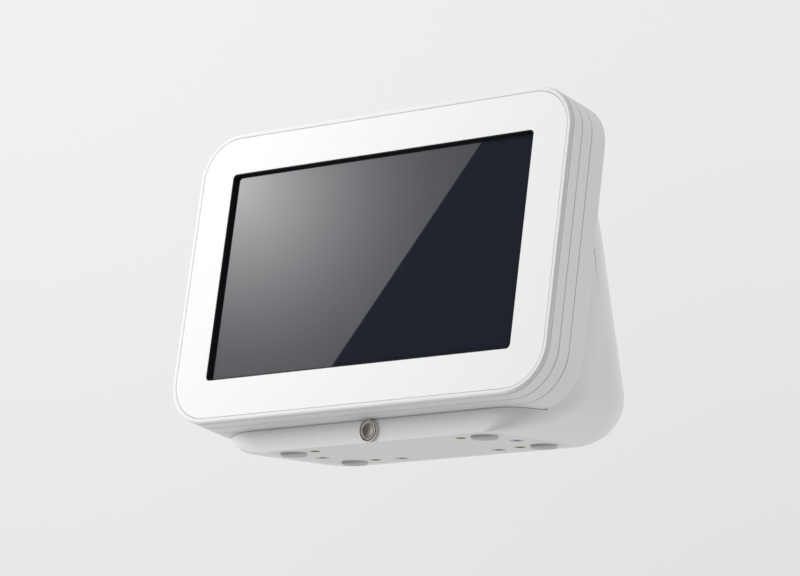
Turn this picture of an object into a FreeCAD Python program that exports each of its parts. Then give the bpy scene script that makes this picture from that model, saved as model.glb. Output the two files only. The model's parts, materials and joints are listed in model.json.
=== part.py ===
import FreeCAD, Part
import math
import os
import Sketcher
from FreeCAD import Placement, Rotation, Vector

# Touchscreen kiosk: a tilted touch-screen head on a hollow wedge stand, in millimetres.
# +Z is up, the screen faces -Y, X = 0 is the plane of symmetry and Z = 0 is under the feet.
# "Head frame": origin at the centre of the front face, X to the right, Y into the head, Z up the face.

SIZES = {
    # head
    "head_width": 192.4, "head_height": 127.6, "head_corner": 19.4, "head_depth": 24.0,
    "tilt_angle": 10.8, "head_lift": 13.2, "front_edge": -41.1,
    "ring_width": 2.0, "ring_depth": 1.2, "panel_gap": 0.15, "panel_thickness": 2.0,
    "band_wall": 2.4, "lap_wall": 0.85, "shadow_gap": 0.5, "band_gap": 0.35,
    "edge_round": 1.1, "line_round": 0.2,
    "first_band": 5.6, "second_band": 6.25, "rear_round": 1.0, "cover_floor": 2.4,
    # screen
    "screen_width": 156.0, "screen_height": 90.9, "screen_corner": 2.0, "lip_width": 0.5,
    "glass_width": 168.0, "glass_height": 103.0, "glass_thickness": 1.8,
    "lcd_width": 164.9, "lcd_height": 100.0, "lcd_thickness": 2.6, "light_thickness": 2.0,
    # electronics in the head
    "board_width": 124.0, "board_height": 80.0, "board_thickness": 1.6, "board_depth": 14.0,
    "bracket_depth": 10.1, "bracket_thickness": 1.0, "hole_across": 55.0, "hole_up": 34.0,
    "ear_across": 86.5, "ear_up": 40.0,
    # stand
    "stand_wall": 2.4, "stand_clearance": 0.2, "stand_front": 14.0,
    "stand_half": 89.8, "stand_rear": 82.0, "stand_top": 112.0, "stand_corner": 26.0,
    "foot_half": 61.0, "foot_rear": 79.0, "foot_corner": 6.0, "tuck_height": 16.5,
    "top_narrowing": 9.0, "rear_slope": 27.8, "rear_crown": 6.0, "top_sharpening": 22.0,
    "slope_power": 1.17, "crown_power": 6.0,
    "base_half": 58.2, "base_front": 16.8, "base_rear": 74.6, "base_corner": 7.0,
    "base_bottom": 1.2, "base_thickness": 2.0, "feet_diameter": 11.0, "feet_recess": 0.6,
    "insert_across": 75.0, "insert_along": 40.0, "insert_diameter": 6.0, "insert_bore": 4.0,
    "insert_length": 7.0, "base_middle": 45.5,
    # push button
    "button_height": 5.9, "flange_diameter": 9.2, "flange_depth": 1.0, "barrel_diameter": 6.8,
    "barrel_length": 6.2, "cap_diameter": 6.0, "cap_clearance": 0.06, "stem_diameter": 2.4,
    "button_travel": 1.2,
}

doc = FreeCAD.newDocument("touchscreen_kiosk")
sheet = doc.addObject("Spreadsheet::Sheet", "sizes")
nodes = {}


class Dim:
    """A length that is a number and also the sheet expression that gives it."""

    def __init__(self, value, text):
        self.value = value
        self.text = text

    def __add__(self, other):
        other = as_dim(other)
        return Dim(self.value + other.value, "(%s + %s)" % (self.text, other.text))

    def __sub__(self, other):
        other = as_dim(other)
        return Dim(self.value - other.value, "(%s - %s)" % (self.text, other.text))

    def __mul__(self, factor):
        return Dim(self.value * factor, "(%s * %s)" % (self.text, factor))


def as_dim(length):
    return length if isinstance(length, Dim) else Dim(float(length), "%.6g" % length)


def size(name):
    return Dim(SIZES[name], "sizes." + name)


def fill_sheet():
    for row, (name, value) in enumerate(SIZES.items(), start=1):
        sheet.set("A%d" % row, name)
        sheet.set("B%d" % row, str(value))
        sheet.setAlias("B%d" % row, name)
    doc.recompute()


def bind(item, prop, length):
    item.setExpression(prop, as_dim(length).text)


# ---------------------------------------------------------------- places

def depth_back(depth):
    """Y of a place that lies so far behind the head's bottom front edge."""
    return SIZES["front_edge"] + depth


def head_place(x=0.0, depth=0.0, up=0.0, turn=None):
    """Placement in the head frame."""
    tilt = math.radians(SIZES["tilt_angle"])
    half = SIZES["head_height"] / 2
    centre = Vector(0, depth_back(half * math.sin(tilt)), SIZES["head_lift"] + half * math.cos(tilt))
    head = Placement(centre, Rotation(Vector(1, 0, 0), -SIZES["tilt_angle"]))
    return head.multiply(Placement(Vector(x, depth, up), turn or Rotation()))


# ---------------------------------------------------------------- small makers

def box(width, depth, height, place):
    """A block, centred on X and Z of its place, that runs along +Y from it."""
    item = doc.addObject("Part::Box", "block")
    bind(item, "Length", width)
    bind(item, "Width", depth)
    bind(item, "Height", height)
    corner = Vector(-as_dim(width).value / 2, 0, -as_dim(height).value / 2)
    item.Placement = place.multiply(Placement(corner, Rotation()))
    return item


def rod(diameter, length, place):
    """A round bar along the +Z axis of its place."""
    item = doc.addObject("Part::Cylinder", "bar")
    bind(item, "Radius", as_dim(diameter) * 0.5)
    bind(item, "Height", length)
    item.Placement = place
    return item


INTO_HEAD = Rotation(Vector(1, 0, 0), -90)


def rod_back(diameter, length, place):
    """A round bar along the +Y axis of its place."""
    return rod(diameter, length, place.multiply(Placement(Vector(), INTO_HEAD)))


def compound(items):
    if len(items) == 1:
        return items[0]
    item = doc.addObject("Part::Compound", "group")
    item.Links = items
    return item


def fuse(items):
    item = doc.addObject("Part::MultiFuse", "fusion")
    item.Shapes = items
    return item


def cut(base, tools):
    item = doc.addObject("Part::Cut", "cut")
    item.Base = base
    item.Tool = compound(tools)
    return item


def cut_each(base, tools):
    """Cut with one tool after another, for tools that overlap each other."""
    for tool in tools:
        base = cut(base, [tool])
    return base


def rounded(base, radius, test, kind="Part::Fillet"):
    """Round or bevel the edges of base whose middle passes the test."""
    doc.recompute()
    item = doc.addObject(kind, "rounding")
    item.Base = base
    chosen = []
    for number, edge in enumerate(base.Shape.Edges, start=1):
        if test(edge):
            chosen.append((number, radius, radius))
    if not chosen:
        raise RuntimeError("no edge to round on " + base.Name)
    item.Edges = chosen
    return item


def node(label, item):
    """Name a finished sub-part."""
    item.Label = label
    nodes[label] = item
    return item


# ---------------------------------------------------------------- sketches and bodies

def outline(sketch, name, half_width, low, high, radius):
    """Add a rounded rectangle to a sketch, centred on X, from low to high, bound to the sheet."""
    half_width, low, high, radius = (as_dim(part) for part in (half_width, low, high, radius))
    half, floor, top, bend = half_width.value, low.value, high.value, radius.value
    first = sketch.GeometryCount
    inner = ((half - bend, top - bend), (bend - half, top - bend),
             (bend - half, floor + bend), (half - bend, floor + bend))
    for quarter, (x, y) in enumerate(inner):
        start = quarter * math.pi / 2
        circle = Part.Circle(Vector(x, y, 0), Vector(0, 0, 1), bend)
        sketch.addGeometry(Part.ArcOfCircle(circle, start, start + math.pi / 2))
    ends = (((half - bend, top), (bend - half, top)), ((-half, top - bend), (-half, floor + bend)),
            ((bend - half, floor), (half - bend, floor)), ((half, floor + bend), (half, top - bend)))
    for (x0, y0), (x1, y1) in ends:
        sketch.addGeometry(Part.LineSegment(Vector(x0, y0, 0), Vector(x1, y1, 0)))
    for quarter in range(4):
        arc, line, after = first + quarter, first + 4 + quarter, first + (quarter + 1) % 4
        sketch.addConstraint(Sketcher.Constraint("Tangent", arc, 2, line, 1))
        sketch.addConstraint(Sketcher.Constraint("Tangent", line, 2, after, 1))
        if quarter:
            sketch.addConstraint(Sketcher.Constraint("Equal", first, arc))
    sketch.addConstraint(Sketcher.Constraint("Horizontal", first + 4))
    for dim_name, kind, geometry, value in (
            ("radius", "Radius", first, radius),
            ("left", "DistanceX", first + 5, half_width * -1),
            ("right", "DistanceX", first + 7, half_width),
            ("top", "DistanceY", first + 4, high),
            ("floor", "DistanceY", first + 6, low)):
        if kind == "Radius":
            number = sketch.addConstraint(Sketcher.Constraint(kind, geometry, value.value))
        else:
            number = sketch.addConstraint(Sketcher.Constraint(kind, -1, 1, geometry, 1, value.value))
        sketch.renameConstraint(number, name + "_" + dim_name)
        sketch.setExpression("Constraints.%s_%s" % (name, dim_name), value.text)


def new_body(label):
    body = doc.addObject("PartDesign::Body", "body")
    body.Label = label + "_body"
    return body


def plane(body, role):
    for feature in body.Origin.OriginFeatures:
        if feature.Role == role:
            return feature
    raise RuntimeError("no plane " + role)


def slab_sketch(body, role, start):
    """A sketch that lies so far into the part from an origin plane of its body."""
    sketch = body.newObject("Sketcher::SketchObject", "outline")
    sketch.AttachmentSupport = [(plane(body, role), "")]
    sketch.MapMode = "FlatFace"
    side = -1 if role == "XZ_Plane" else 1
    sketch.setExpression("AttachmentOffset.Base.z", (as_dim(start) * side).text)
    return sketch


def add_slab(body, role, start, depth, outer, inner=None, feature="Pad"):
    """Pad or pocket a rounded rectangle, with an opening if inner is given."""
    sketch = slab_sketch(body, role, start)
    outline(sketch, "outer", *outer)
    if inner:
        outline(sketch, "inner", *inner)
    item = body.newObject("PartDesign::" + feature, feature.lower())
    item.Profile = sketch
    bind(item, "Length", depth)
    item.Reversed = (role == "XZ_Plane") == (feature == "Pad")
    return item


def face_box(width, height, radius, inset=0.0):
    """Outline in the head frame, centred on the face."""
    return (as_dim(width) * 0.5 - inset, as_dim(height) * -0.5 + inset,
            as_dim(height) * 0.5 - inset, as_dim(radius) - inset)


def head_outline(inset=0.0):
    return face_box(size("head_width"), size("head_height"), size("head_corner"), inset)


def round_edges(body, feature, radius, test):
    """Fillet the edges of a body's feature whose middle passes the test."""
    doc.recompute()
    names = []
    for number, edge in enumerate(feature.Shape.Edges, start=1):
        if test(edge.CenterOfMass):
            names.append("Edge%d" % number)
    fillet = body.newObject("PartDesign::Fillet", "fillet")
    fillet.Base = (feature, names)
    bind(fillet, "Radius", radius)
    return fillet


def head_slab(label, start, depth, outer, inner=None):
    body = new_body(label)
    add_slab(body, "XZ_Plane", start, depth, outer, inner)
    body.Placement = head_place()
    return body


# ---------------------------------------------------------------- head shell

def panel_outline(inset=0.0):
    return head_outline(size("ring_width") + inset)


def screen_outline(inset=0.0):
    return face_box(size("screen_width"), size("screen_height"), size("screen_corner"), inset)


def near(value, target):
    return abs(value - target) < 0.02


def on_outline(point):
    """True for the middle of an edge on the head's outer wall, and not on a wall inside it."""
    half = SIZES["head_width"] / 2
    top = SIZES["head_height"] / 2
    on_side = near(abs(point.x), half) or near(abs(point.z), top)
    bend = SIZES["head_corner"]
    reach = math.hypot(abs(point.x) - half + bend, abs(point.z) - top + bend)
    at_corner = abs(point.x) > half - bend and abs(point.z) > top - bend
    return on_side or (at_corner and reach > bend * 0.88)


def make_front_panel():
    body = new_body("front_panel")
    pad = add_slab(body, "XZ_Plane", 0, size("panel_thickness"), panel_outline(size("panel_gap")),
                   screen_outline())
    round_edges(body, pad, size("line_round"),
                lambda point: near(point.y, 0) and (abs(point.x) > 85 or abs(point.z) > 55))
    body.Placement = head_place()
    node("front_panel", body)


def make_bezel_ring():
    """Outer ring around the front panel, with a wall behind it and a ledge under the panel's edge."""
    body = new_body("bezel_ring")
    add_slab(body, "XZ_Plane", 0, size("ring_depth"), head_outline(), panel_outline())
    add_slab(body, "XZ_Plane", size("ring_depth"), 2.6, head_outline(1.0), panel_outline())
    ledge = add_slab(body, "XZ_Plane", size("panel_thickness") + 0.1, 1.7,
                     head_outline(1.5), panel_outline(4.0))
    round_edges(body, ledge, size("edge_round"), lambda point: near(point.y, 0) and on_outline(point))
    body.Placement = head_place()
    node("bezel_ring", body)


def make_band(label, start, depth, lap=0.0):
    """A ring of the head's side wall; a lap thins its front part to let the ring before it in."""
    body = new_body(label)
    if lap:
        add_slab(body, "XZ_Plane", start, lap, head_outline(), head_outline(size("lap_wall")))
    pad = add_slab(body, "XZ_Plane", start + lap, depth - lap,
                   head_outline(), head_outline(size("band_wall")))

    def is_sharp(point):
        at_lap = lap and near(point.y, (start + lap).value)
        return on_outline(point) and not at_lap

    round_edges(body, pad, size("line_round"), is_sharp)
    body.Placement = head_place()
    node(label, body)


def band_starts():
    first = size("ring_depth") + size("shadow_gap")
    second = first + size("first_band") + size("band_gap")
    rear = second + size("second_band") + size("band_gap")
    return first, second, rear


def ear_points():
    """Screw places that the LCD bracket's ears share with the chassis."""
    return corner_points(SIZES["ear_across"], SIZES["ear_up"])


def make_chassis():
    """Frame inside the bands, with a boss for each bracket ear."""
    body = new_body("chassis")
    add_slab(body, "XZ_Plane", 4.0, 17.4, head_outline(size("band_wall") + 0.1), head_outline(4.3))
    body.Placement = head_place()
    parts = [body]
    start = 11.3
    for x, up in ear_points():
        rib_x = x + math.copysign(3.0, x)
        parts.append(rod_back(6.4, 9.8, head_place(x, start, up)))
        parts.append(box(6.0, 9.8, 4.0, head_place(rib_x, start, up)))
    drill = [rod_back(2.6, 9.0, head_place(x, start - 0.1, up)) for x, up in ear_points()]
    node("chassis", cut(fuse(parts), drill))


COVER_SCREWS = ((-83.0, 52.0), (83.0, 52.0), (-83.0, -52.0), (83.0, -52.0))


def make_rear_cover():
    start = band_starts()[2]
    depth = size("head_depth") - start
    body = new_body("head_rear_cover")
    pad = add_slab(body, "XZ_Plane", start, depth, head_outline())
    rear = SIZES["head_depth"]
    fillet = round_edges(body, pad, size("rear_round"), lambda point: near(point.y, rear))
    round_edges(body, fillet, size("line_round"),
                lambda point: near(point.y, start.value) and on_outline(point))
    body.Placement = head_place()
    hollow = new_body("cover_hollow")
    add_slab(hollow, "XZ_Plane", start - 1, depth + 1 - size("cover_floor"), head_outline(size("band_wall")))
    hollow.Placement = head_place()
    bosses = [rod_back(7.6, 7.0, head_place(x, 15.0, up)) for x, up in COVER_SCREWS]
    shell = fuse([cut(body, [hollow])] + bosses)
    tools = [box(44, 6, 22, head_place(0, 20, -18))]
    for x, up in COVER_SCREWS:
        tools.append(rod_back(3.2, 12, head_place(x, 14, up)))
        tools.append(rod_back(6.4, 2, head_place(x, rear - 1.4, up)))
    slots = 15
    pitch = 5.0
    for slot in range(slots):
        across = (slot - (slots - 1) / 2) * pitch
        tools.append(box(1.8, 6, 7, head_place(across, 20, 52.5)))
    node("head_rear_cover", cut(shell, tools))
    heads = [rod_back(6.0, 1.2, head_place(x, rear - 1.3, up)) for x, up in COVER_SCREWS]
    shanks = [rod_back(2.9, 7.0, head_place(x, rear - 8.2, up)) for x, up in COVER_SCREWS]
    sockets = []
    for x, up in COVER_SCREWS:
        sockets.append(hex_bar(2.6, 0.9, head_place(x, rear - 0.9, up)))
    screws = [cut(fuse([head, shank]), [socket]) for head, shank, socket in zip(heads, shanks, sockets)]
    node("cover_screws", compound(screws))


def hex_bar(across_flats, length, place):
    item = doc.addObject("Part::Prism", "hex_bar")
    item.Polygon = 6
    bind(item, "Circumradius", across_flats / math.sqrt(3))
    bind(item, "Height", length)
    item.Placement = place.multiply(Placement(Vector(), INTO_HEAD))
    return item


# ---------------------------------------------------------------- screen and electronics

def make_screen():
    panel = size("panel_thickness")
    glass = size("glass_thickness")
    node("screen_gasket", head_slab("screen_gasket", 0.08, panel - 0.08, screen_outline(0.03),
                                    screen_outline(size("lip_width"))))
    body = new_body("touch_glass")
    add_slab(body, "XZ_Plane", panel + 0.03, glass, face_box(size("glass_width"), size("glass_height"), 3))
    body.Placement = head_place()
    node("touch_glass", body)
    start = panel + glass + 0.05
    node("touch_film", head_slab("touch_film", start, 0.25, face_box(166, 101, 2.5)))
    start = start + 0.3
    node("lcd_cell", head_slab("lcd_cell", start, size("lcd_thickness"),
                               face_box(size("lcd_width") - 1.6, size("lcd_height") - 1.6, 1)))
    start = start + size("lcd_thickness") + 0.05
    node("lcd_backlight", head_slab("lcd_backlight", start, size("light_thickness"),
                                    face_box(size("lcd_width") - 1.6, size("lcd_height") - 1.6, 1)))
    body = new_body("lcd_frame")
    front = panel + glass + 0.4
    rear = start + size("light_thickness") + 0.05
    add_slab(body, "XZ_Plane", front, rear - front, face_box(size("lcd_width"), size("lcd_height"), 1.4),
             face_box(size("lcd_width") - 1.4, size("lcd_height") - 1.4, 0.8))
    add_slab(body, "XZ_Plane", rear, 0.5, face_box(size("lcd_width"), size("lcd_height"), 1.4))
    body.Placement = head_place()
    node("lcd_frame", body)


def corner_points(across, up):
    return [(x * across, z * up) for x in (-1, 1) for z in (-1, 1)]


def make_bracket():
    depth = size("bracket_depth")
    body = new_body("lcd_bracket")
    add_slab(body, "XZ_Plane", depth, size("bracket_thickness"), face_box(166, 98, 3), face_box(96, 52, 6))
    body.Placement = head_place()
    ears = [box(10, 1.0, 8, head_place(x, SIZES["bracket_depth"], up)) for x, up in corner_points(85, 40)]
    holes = [rod_back(2.8, 3, head_place(x, 9.5, up)) for x, up in ear_points()]
    holes += [rod_back(2.6, 3, head_place(x, 9.5, up))
              for x, up in corner_points(SIZES["hole_across"], SIZES["hole_up"])]
    node("lcd_bracket", cut(fuse([body] + ears), holes))


def make_board():
    points = corner_points(SIZES["hole_across"], SIZES["hole_up"])
    board_start = SIZES["board_depth"]
    plate_end = SIZES["bracket_depth"] + SIZES["bracket_thickness"]
    spacers = []
    for x, up in points:
        spacer = hex_bar(5.0, board_start - plate_end - 0.04, head_place(x, plate_end + 0.02, up))
        spacers.append(cut(spacer, [rod_back(2.7, 5, head_place(x, plate_end - 1, up))]))
    node("board_spacers", compound(spacers))
    body = new_body("main_board")
    add_slab(body, "XZ_Plane", size("board_depth"), size("board_thickness"),
             face_box(size("board_width"), size("board_height"), 3))
    body.Placement = head_place()
    holes = [rod_back(2.8, 4, head_place(x, board_start - 1, up)) for x, up in points]
    node("main_board", cut(body, holes))
    top = board_start + SIZES["board_thickness"]
    screws = []
    for x, up in points:
        head = rod_back(5.0, 1.5, head_place(x, top + 0.02, up))
        shank = rod_back(2.4, 4.4, head_place(x, top - 4.3, up))
        screws.append(cut(fuse([head, shank]), [hex_bar(2.0, 1.2, head_place(x, top + 0.7, up))]))
    node("board_screws", compound(screws))
    # width, depth, height, then the place across and up the board
    chip_sizes = ((36, 1.8, 36, -6, 2), (14, 1.0, 10, 26, 12), (14, 1.0, 10, 26, -4),
                  (12, 1.4, 12, -42, 10), (22, 4.6, 6, 0, -34), (8, 3.4, 8, 44, 14))
    chips = [box(width, depth, height, head_place(x, top + 0.02, up))
             for width, depth, height, x, up in chip_sizes]
    node("board_parts", compound(chips))
    spreader = [box(52, 1.0, 44, head_place(-6, top + 1.9, 4))]
    for fin in range(9):
        spreader.append(box(1.0, 2.4, 44, head_place(-6 + (fin - 4) * 6.0, top + 2.4, 4)))
    node("heat_spreader", fuse(spreader))
    node("radio_module", box(20, 2.4, 15, head_place(44, top + 0.02, -12)))
    node("antenna", box(40, 0.8, 6, head_place(-40, 8.0, 55.5)))


def make_ribbons():
    """Flexible flat cables that come round the lower edge of the LCD to the board."""
    for label, across, width, front in (("display_ribbon", 14, 26, 10.1), ("touch_ribbon", -34, 12, 5.0)):
        down = box(width, 16.0 - front, 0.3, head_place(across, front, -51.4))
        back = box(width, 0.3, 12.0, head_place(across, 15.9, -45.55))
        node(label, fuse([down, back]))


# ---------------------------------------------------------------- stand

def stand_front_at(height):
    """The stand's front runs up inside the leaning head."""
    lean = math.tan(math.radians(SIZES["tilt_angle"]))
    return depth_back(SIZES["stand_front"] + lean * max(0.0, height - 7.5))


def stand_level(height, half_width, rear, corner, inset):
    """A sketch of one level of the stand."""
    sketch = doc.addObject("Sketcher::SketchObject", "level")
    sketch.Placement = Placement(Vector(0, 0, height), Rotation())
    front = stand_front_at(height) + inset
    outline(sketch, "level", half_width, front, depth_back(rear), corner)
    return sketch


def stand_levels(wall):
    """Levels of the stand's skin, or of its hollow: a quarter ellipse that tucks under, then the back."""
    levels = []
    tuck_steps = 6
    rise_steps = 11
    foot_half, foot_rear = SIZES["foot_half"], SIZES["foot_rear"]
    tuck = SIZES["tuck_height"]
    tuck_top = SIZES["base_bottom"] + tuck
    for step in range(tuck_steps + 1):
        turn = math.pi / 2 * step / tuck_steps
        levels.append(stand_level(tuck_top - (tuck - wall) * math.cos(turn),
                                  foot_half + (SIZES["stand_half"] - foot_half - wall) * math.sin(turn),
                                  foot_rear + (SIZES["stand_rear"] - foot_rear - wall) * math.sin(turn),
                                  SIZES["foot_corner"]
                                  + (SIZES["stand_corner"] - SIZES["foot_corner"] - wall) * math.sin(turn),
                                  wall))
    for step in range(1, rise_steps + 1):
        rise = step / rise_steps
        crown = rise ** SIZES["crown_power"]
        thicker = wall * (1 + 0.5 * rise ** 3)
        levels.append(stand_level(tuck_top + (SIZES["stand_top"] - tuck_top) * rise,
                                  SIZES["stand_half"] - SIZES["top_narrowing"] * crown - wall,
                                  SIZES["stand_rear"] - SIZES["rear_slope"] * rise ** SIZES["slope_power"]
                                  - SIZES["rear_crown"] * crown - thicker,
                                  SIZES["stand_corner"] - SIZES["top_sharpening"] * rise ** 3 - wall,
                                  wall))
    return levels


def loft(sections):
    item = doc.addObject("Part::Loft", "loft")
    item.Sections = sections
    item.Solid = True
    item.Ruled = False
    return item


def head_cutter(clearance):
    """The head's whole envelope, grown by the clearance, and open to the front."""
    body = new_body("head_envelope")
    grow = Dim(0, "0") - clearance
    add_slab(body, "XZ_Plane", -30, size("head_depth") + 30 + clearance, head_outline(grow))
    body.Placement = head_place()
    return body


# across, depth, and how far the rib beside the screw runs across and back
BASE_SCREWS = ((-50.0, 46.0, -30.0, 0.0), (50.0, 46.0, 30.0, 0.0),
               (-25.0, 67.5, 0.0, 12.0), (25.0, 67.5, 0.0, 12.0))


def make_stand():
    outer = stand_levels(0.0)
    inner = stand_levels(SIZES["stand_wall"])
    nut_room = box(13, 5, 8.6, button_place(SIZES["stand_front"] + SIZES["stand_wall"]))
    openings = [base_opening(), nut_room]
    shell = cut_each(loft(outer), [loft(inner), head_cutter(size("stand_clearance"))] + openings)
    webs = []
    for x, depth, across, along in BASE_SCREWS:
        webs.append(rod(7.0, 5.8, Placement(Vector(x, depth_back(depth), 3.4), Rotation())))
        webs.append(web(x, depth, across, along))
    drills = [rod(2.5, 7, Placement(Vector(x, depth_back(depth), 3), Rotation()))
              for x, depth, across, along in BASE_SCREWS]
    button_hole = rod_back(size("barrel_diameter") + 0.2, 6, button_place(11.0))
    rear = SIZES["stand_rear"]
    port_hole = box(56, 12, 16, stand_place(0, rear - 7.2, 18.4))
    tools = [button_hole, port_hole, box(7, 10, 3, stand_place(-50, rear - 6.2, 18))]
    rows = 5
    for row in range(rows):
        tools.append(box(34, 30, 1.6, stand_place(0, rear - 18, 44 + row * 4.4)))
    for side in (-1, 1):
        for slot in range(7):
            tools.append(box(1.8, 28, 9, stand_place(side * 42 + (slot - 3) * 4.2, rear - 16, 40)))
    hollowed = cut(shell, tools)
    node("stand_shell", cut(fuse([hollowed] + webs), drills))


def web(x, depth, across, along):
    """A rib that ties a screw boss to the wall of the stand."""
    if across:
        return box(abs(across), 3, 3.2, stand_place(x + across / 2, depth - 1.5, 7.6))
    return box(3, along, 3.2, stand_place(x, depth, 7.6))


def base_opening():
    """A tool with the outline of the base plate, grown by the clearance."""
    body = new_body("base_opening")
    add_slab(body, "XY_Plane", 0, 5, base_outline(size("stand_clearance") * -1))
    return body


def base_outline(inset=0.0):
    front = size("front_edge") + size("base_front")
    rear = size("front_edge") + size("base_rear")
    inset = as_dim(inset)
    return (size("base_half") - inset, front + inset, rear - inset, size("base_corner") - inset)


def stand_place(x, depth, height):
    return Placement(Vector(x, depth_back(depth), height), Rotation())


def insert_points():
    half_across = SIZES["insert_across"] / 2
    half_along = SIZES["insert_along"] / 2
    middle = SIZES["base_middle"]
    return [(x * half_across, middle + y * half_along) for x in (-1, 1) for y in (-1, 1)]


FOOT_POINTS = ((-49.0, 26.0), (49.0, 26.0), (-49.0, 66.0), (49.0, 66.0))


def make_base():
    body = new_body("base_plate")
    add_slab(body, "XY_Plane", size("base_bottom"), size("base_thickness"), base_outline())
    bottom = SIZES["base_bottom"]
    tools = [box(13, 13, 4.5, stand_place(0, 15, bottom + 2.8))]
    for x, depth, across, along in BASE_SCREWS:
        tools.append(rod(3.2, 4, stand_place(x, depth, bottom - 1)))
        tools.append(rod(6.2, 1.2, stand_place(x, depth, bottom - 0.1)))
    for x, depth in insert_points():
        tools.append(rod(size("insert_diameter") + 0.04, 4, stand_place(x, depth, bottom - 1)))
    for x, depth in FOOT_POINTS:
        tools.append(rod(size("feet_diameter") + 0.3, size("feet_recess") + 1,
                         stand_place(x, depth, bottom - 1)))
    node("base_plate", cut(body, tools))
    screws = []
    for x, depth, across, along in BASE_SCREWS:
        head = rod(6.0, 0.9, stand_place(x, depth, bottom + 0.12))
        shank = rod(2.4, 6.4, stand_place(x, depth, bottom + 1.0))
        turned = Placement(Vector(x, depth_back(depth), bottom), Rotation(Vector(1, 0, 0), 90))
        screws.append(cut(fuse([head, shank]), [hex_bar(2.4, 0.8, turned)]))
    node("base_screws", compound(screws))
    feet = []
    for x, depth in FOOT_POINTS:
        foot = rod(size("feet_diameter"), size("base_bottom") + size("feet_recess") - 0.02,
                   stand_place(x, depth, 0))
        feet.append(rounded(foot, 0.4, lambda edge: edge.CenterOfMass.z < 0.1 and edge.Length > 20))
    node("rubber_feet", compound(feet))
    inserts = []
    for x, depth in insert_points():
        barrel = rod(size("insert_diameter"), size("insert_length"), stand_place(x, depth, bottom))
        bore = rod(size("insert_bore"), size("insert_length") - 1, stand_place(x, depth, bottom - 0.5))
        inserts.append(cut(barrel, [bore]))
    node("threaded_inserts", compound(inserts))
    blocks = []
    for side in (-1, 1):
        block = box(26, 18, 9, stand_place(side * 21, 30, bottom + 6.6))
        blocks.append(rounded(block, 1.0, lambda edge: True, "Part::Chamfer"))
    node("ballast_weights", compound(blocks))


# ---------------------------------------------------------------- rear ports

def make_ports():
    """Network jack and service port on their board, behind a plate set in the rear opening."""
    rear = SIZES["stand_rear"]
    jack_x = -9.0
    port_x = 11.0
    plate = box(55.6, 1.6, 15.6, stand_place(0, rear - 4.2, 18.4))
    jack_hole = box(16.4, 4, 13.9, stand_place(jack_x, rear - 5.3, 18))
    port_hole = box(9.6, 4, 3.8, stand_place(port_x, rear - 5.3, 14.6))
    node("port_plate", cut(plate, [jack_hole, port_hole]))
    jack = box(16, 18, 13.5, stand_place(jack_x, rear - 20.8, 18))
    plug_way = box(11.8, 14, 7.0, stand_place(jack_x, rear - 14.8, 18))
    key_way = box(5.0, 14, 3.0, stand_place(jack_x, rear - 14.8, 13.2))
    contacts = [box(0.5, 8, 0.8, stand_place(jack_x + (pin - 3.5) * 1.1, rear - 14.3, 21.3))
                for pin in range(8)]
    node("network_jack", fuse([cut_each(jack, [plug_way, key_way])] + contacts))
    case = rounded(box(9.2, 9.0, 3.4, stand_place(port_x, rear - 11.8, 14.6)), 1.2,
                   lambda edge: near(edge.Length, 9.0))
    mouth = rounded(box(8.4, 6.6, 2.6, stand_place(port_x, rear - 8.8, 14.6)), 1.0,
                    lambda edge: near(edge.Length, 6.6))
    tongue = box(6.6, 5.0, 0.7, stand_place(port_x, rear - 9.2, 14.6))
    node("service_port", fuse([cut(case, [mouth]), tongue]))
    node("io_board", box(36, 26, 1.6, stand_place(0, rear - 31.3, 10.3)))
    lock = box(6.8, 5.2, 2.8, stand_place(-50, rear - 6.0, 18))
    node("lock_slot_liner", cut(lock, [box(5.6, 6, 1.6, stand_place(-50, rear - 5.5, 18))]))


def make_speaker():
    """Small loudspeaker behind the slots in the stand's back."""
    rear = SIZES["stand_rear"]
    frame = rod_back(30, 3.0, stand_place(0, rear - 19.9, 52.8))
    magnet = rod_back(16, 5.0, stand_place(0, rear - 24.8, 52.8))
    node("speaker", fuse([frame, magnet]))


def make_link_cable():
    """Cable inside the stand, from the port board up into the head."""
    bend = 9.0
    foot = Vector(12, depth_back(56), 11.2)
    corner = Vector(12, depth_back(56), 52.0)
    end = Vector(12, depth_back(34.5), 52.0)
    before = corner - Vector(0, 0, bend)
    after = corner - Vector(0, bend, 0)
    middle = corner - Vector(0, bend, bend) * (1 - math.sqrt(0.5))
    path = Part.Wire([Part.LineSegment(foot, before).toShape(), Part.Arc(before, middle, after).toShape(),
                      Part.LineSegment(after, end).toShape()])
    ring = Part.Wire([Part.makeCircle(2.2, foot, Vector(0, 0, 1))])
    item = doc.addObject("Part::Feature", "cable")
    item.Shape = path.makePipeShell([ring], True, True)
    node("link_cable", item)


# ---------------------------------------------------------------- push button

def button_place(depth):
    return stand_place(0, depth, SIZES["button_height"])


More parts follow.
